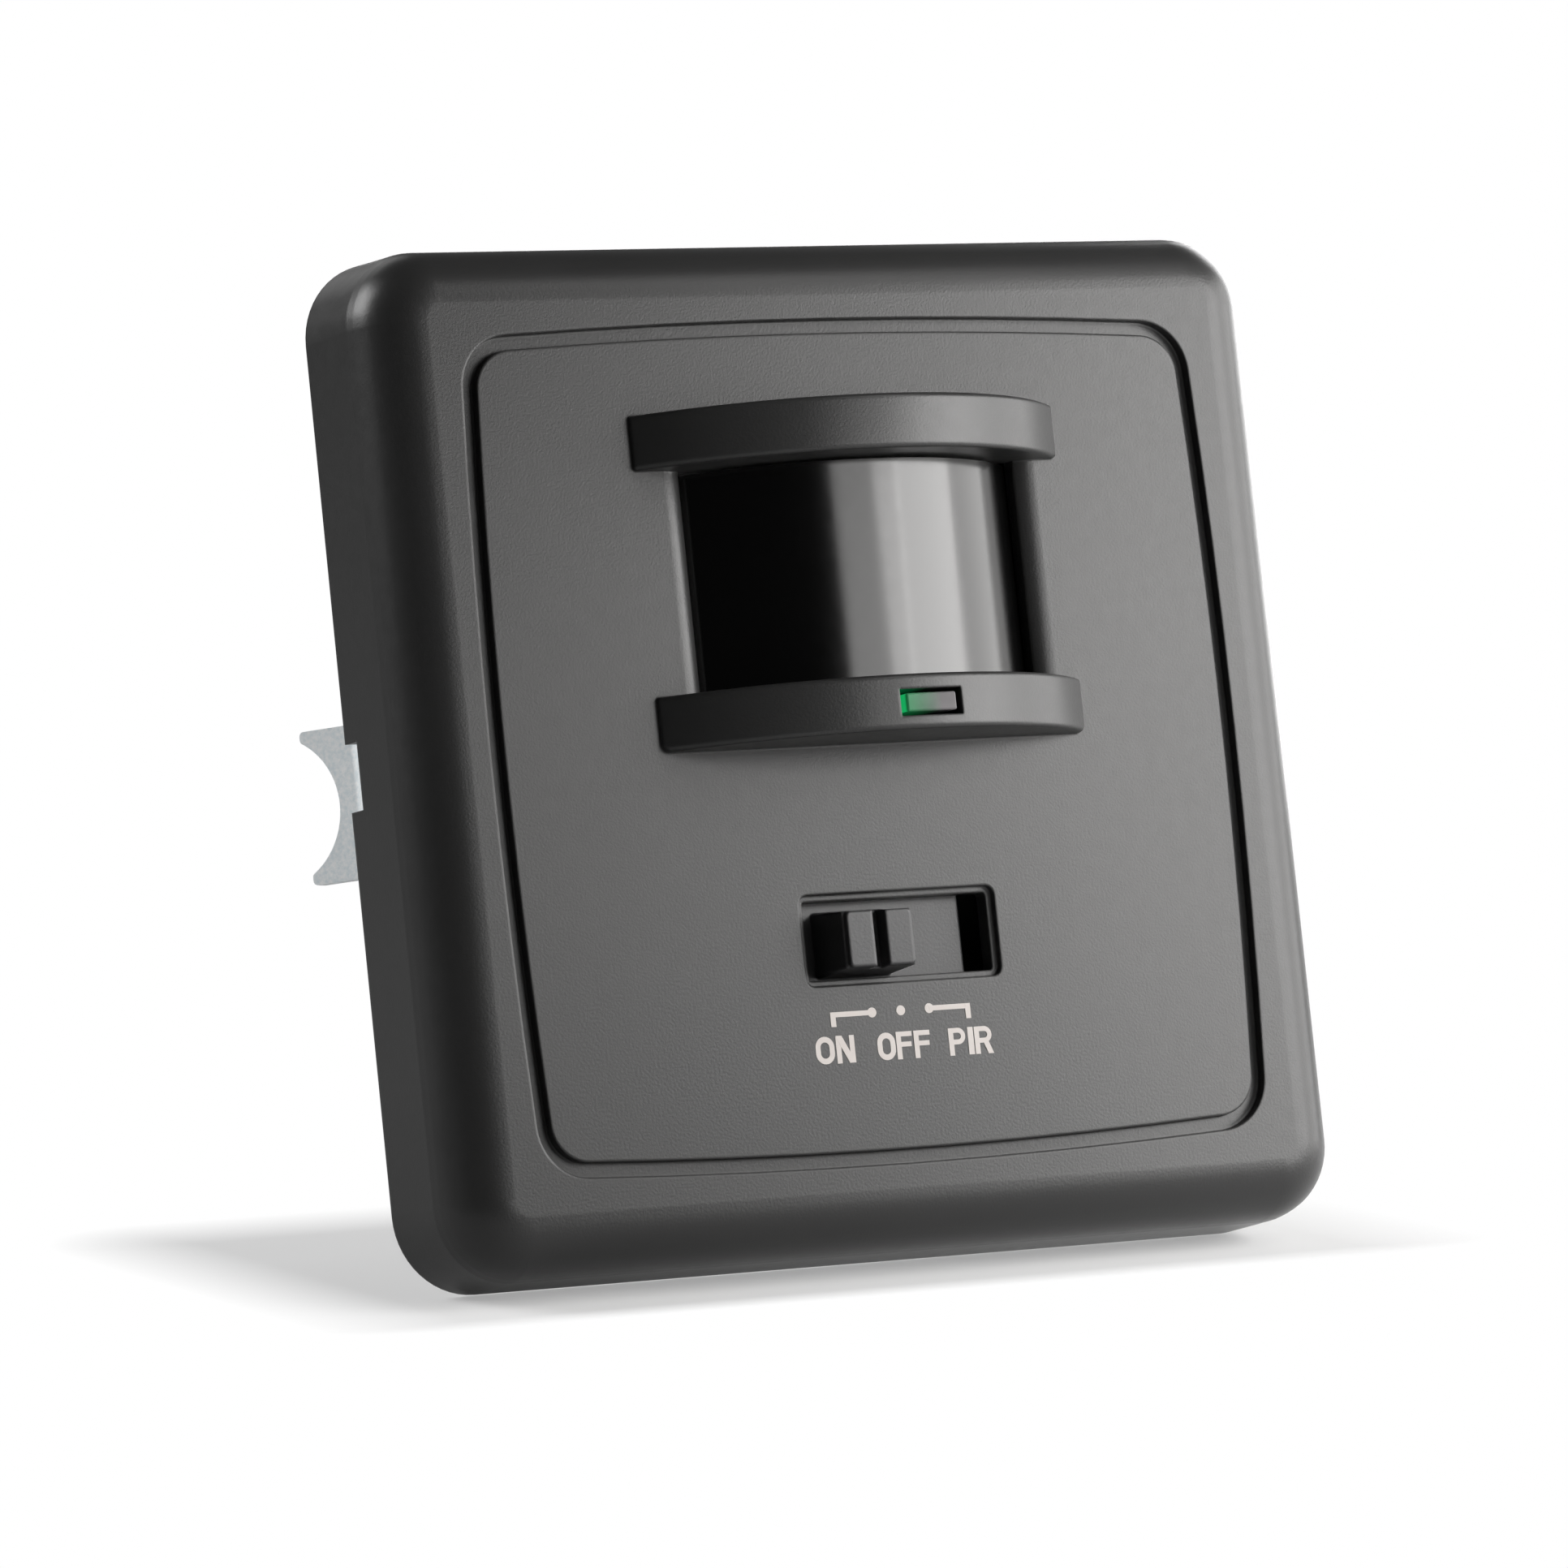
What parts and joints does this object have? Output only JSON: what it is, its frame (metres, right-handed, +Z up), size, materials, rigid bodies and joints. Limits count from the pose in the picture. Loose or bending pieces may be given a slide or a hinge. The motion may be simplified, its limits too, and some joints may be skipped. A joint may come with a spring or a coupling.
{
  "type": "motion sensor light switch",
  "caption": "Flush wall light switch with a curved infrared lens between two bowed bars, a three-position slide switch, a claw-fixed mounting plate and a sensor and relay module behind.",
  "frame": {"origin": "centre of the wall plane, on the back of the mounting plate and the rim of the front cover", "axes": "+X to the right as the user sees the switch, +Y into the wall, +Z up"},
  "size_m": [0.08, 0.0512, 0.0804],
  "materials": {
    "cover_plastic": "satin",
    "lens_plastic": "gloss",
    "black_plastic": "matte",
    "clear_green": "gloss",
    "knob_plastic": "satin",
    "zinc_steel": "zinc plated",
    "housing_plastic": "matte",
    "inner_plastic": "matte",
    "screw_steel": "zinc plated",
    "claw_steel": "zinc plated",
    "board_laminate": "solder mask",
    "can_metal": "satin",
    "filter_glass": "gloss",
    "ceramic_disc": "matte",
    "lamp_resin": "gloss",
    "white_plastic": "matte",
    "tin_leads": "tinned",
    "blue_plastic": "gloss",
    "dial_plastic": "matte",
    "chip_epoxy": "matte",
    "relay_plastic": "satin",
    "film_plastic": "gloss",
    "sleeve_film": "gloss",
    "varistor_coat": "gloss",
    "fuse_ceramic": "ceramic",
    "terminal_plastic": "matte",
    "clamp_brass": "bright"
  },
  "bodies": {
    "frame": {"front_cover": "cover_plastic", "fresnel_lens": "lens_plastic", "lens_retainer": "black_plastic", "led_light_pipe": "clear_green", "mounting_plate": "zinc_steel", "rear_housing": "housing_plastic", "inner_cover": "inner_plastic", "case_screws": "screw_steel", "sensor_board": "board_laminate", "pyro_sensor": "can_metal", "pyro_filter": "filter_glass", "light_sensor": "ceramic_disc", "indicator_led": "lamp_resin", "mode_switch_body": "black_plastic", "mode_switch_pins": "tin_leads", "trimmer_bodies": "blue_plastic", "controller_chip": "chip_epoxy", "chip_leads": "tin_leads", "link_header": "black_plastic", "link_pins": "tin_leads", "power_board": "board_laminate", "relay": "relay_plastic", "film_capacitor": "film_plastic", "electrolytic_capacitor": "sleeve_film", "varistor": "varistor_coat", "fuse": "fuse_ceramic", "terminal_block": "terminal_plastic", "terminal_clamps": "clamp_brass", "terminal_screws": "screw_steel"},
    "mode_slider": {"slide_knob": "knob_plastic", "mode_switch_lever": "white_plastic"},
    "lux_dial": {"lux_dial": "dial_plastic"},
    "time_dial": {"time_dial": "dial_plastic"},
    "claw_screw_left": {"claw_screw_left": "screw_steel"},
    "claw_screw_right": {"claw_screw_right": "screw_steel"},
    "claw_left": {"claw_left": "claw_steel"},
    "claw_right": {"claw_right": "claw_steel"}
  },
  "joints": [
    {"name": "mode_slide", "type": "slide", "parent": "frame", "child": "mode_slider", "axis": [1, 0, 0], "range_m": [0, 0.0052]},
    {"name": "lux_turn", "type": "hinge", "parent": "frame", "child": "lux_dial", "pos_m": [-0.012, 0, -0.0052], "axis": [0, 1, 0], "range_deg": [-135, 135]},
    {"name": "time_turn", "type": "hinge", "parent": "frame", "child": "time_dial", "pos_m": [0.012, 0, -0.0052], "axis": [0, 1, 0], "range_deg": [-135, 135]},
    {"name": "claw_screw_left_turn", "type": "hinge", "parent": "frame", "child": "claw_screw_left", "pos_m": [-0.022, 0, 0.0012], "axis": [0, 1, 0], "range_deg": [0, 555]},
    {"name": "claw_screw_right_turn", "type": "hinge", "parent": "frame", "child": "claw_screw_right", "pos_m": [0.022, 0, 0.0012], "axis": [0, 1, 0], "range_deg": [0, 555]},
    {"name": "claw_left_swing", "type": "hinge", "parent": "frame", "child": "claw_left", "pos_m": [-0.0183, 0.0066, 0.0012], "axis": [0, 0, 1], "range_deg": [0, 12]},
    {"name": "claw_right_swing", "type": "hinge", "parent": "frame", "child": "claw_right", "pos_m": [0.0183, 0.0066, 0.0012], "axis": [0, 0, -1], "range_deg": [0, 12]}
  ],
  "couplings": [
    {"joint": "claw_screw_left_turn", "follows": "claw_left_swing", "ratio": 46.2},
    {"joint": "claw_screw_right_turn", "follows": "claw_right_swing", "ratio": 46.2}
  ]
}
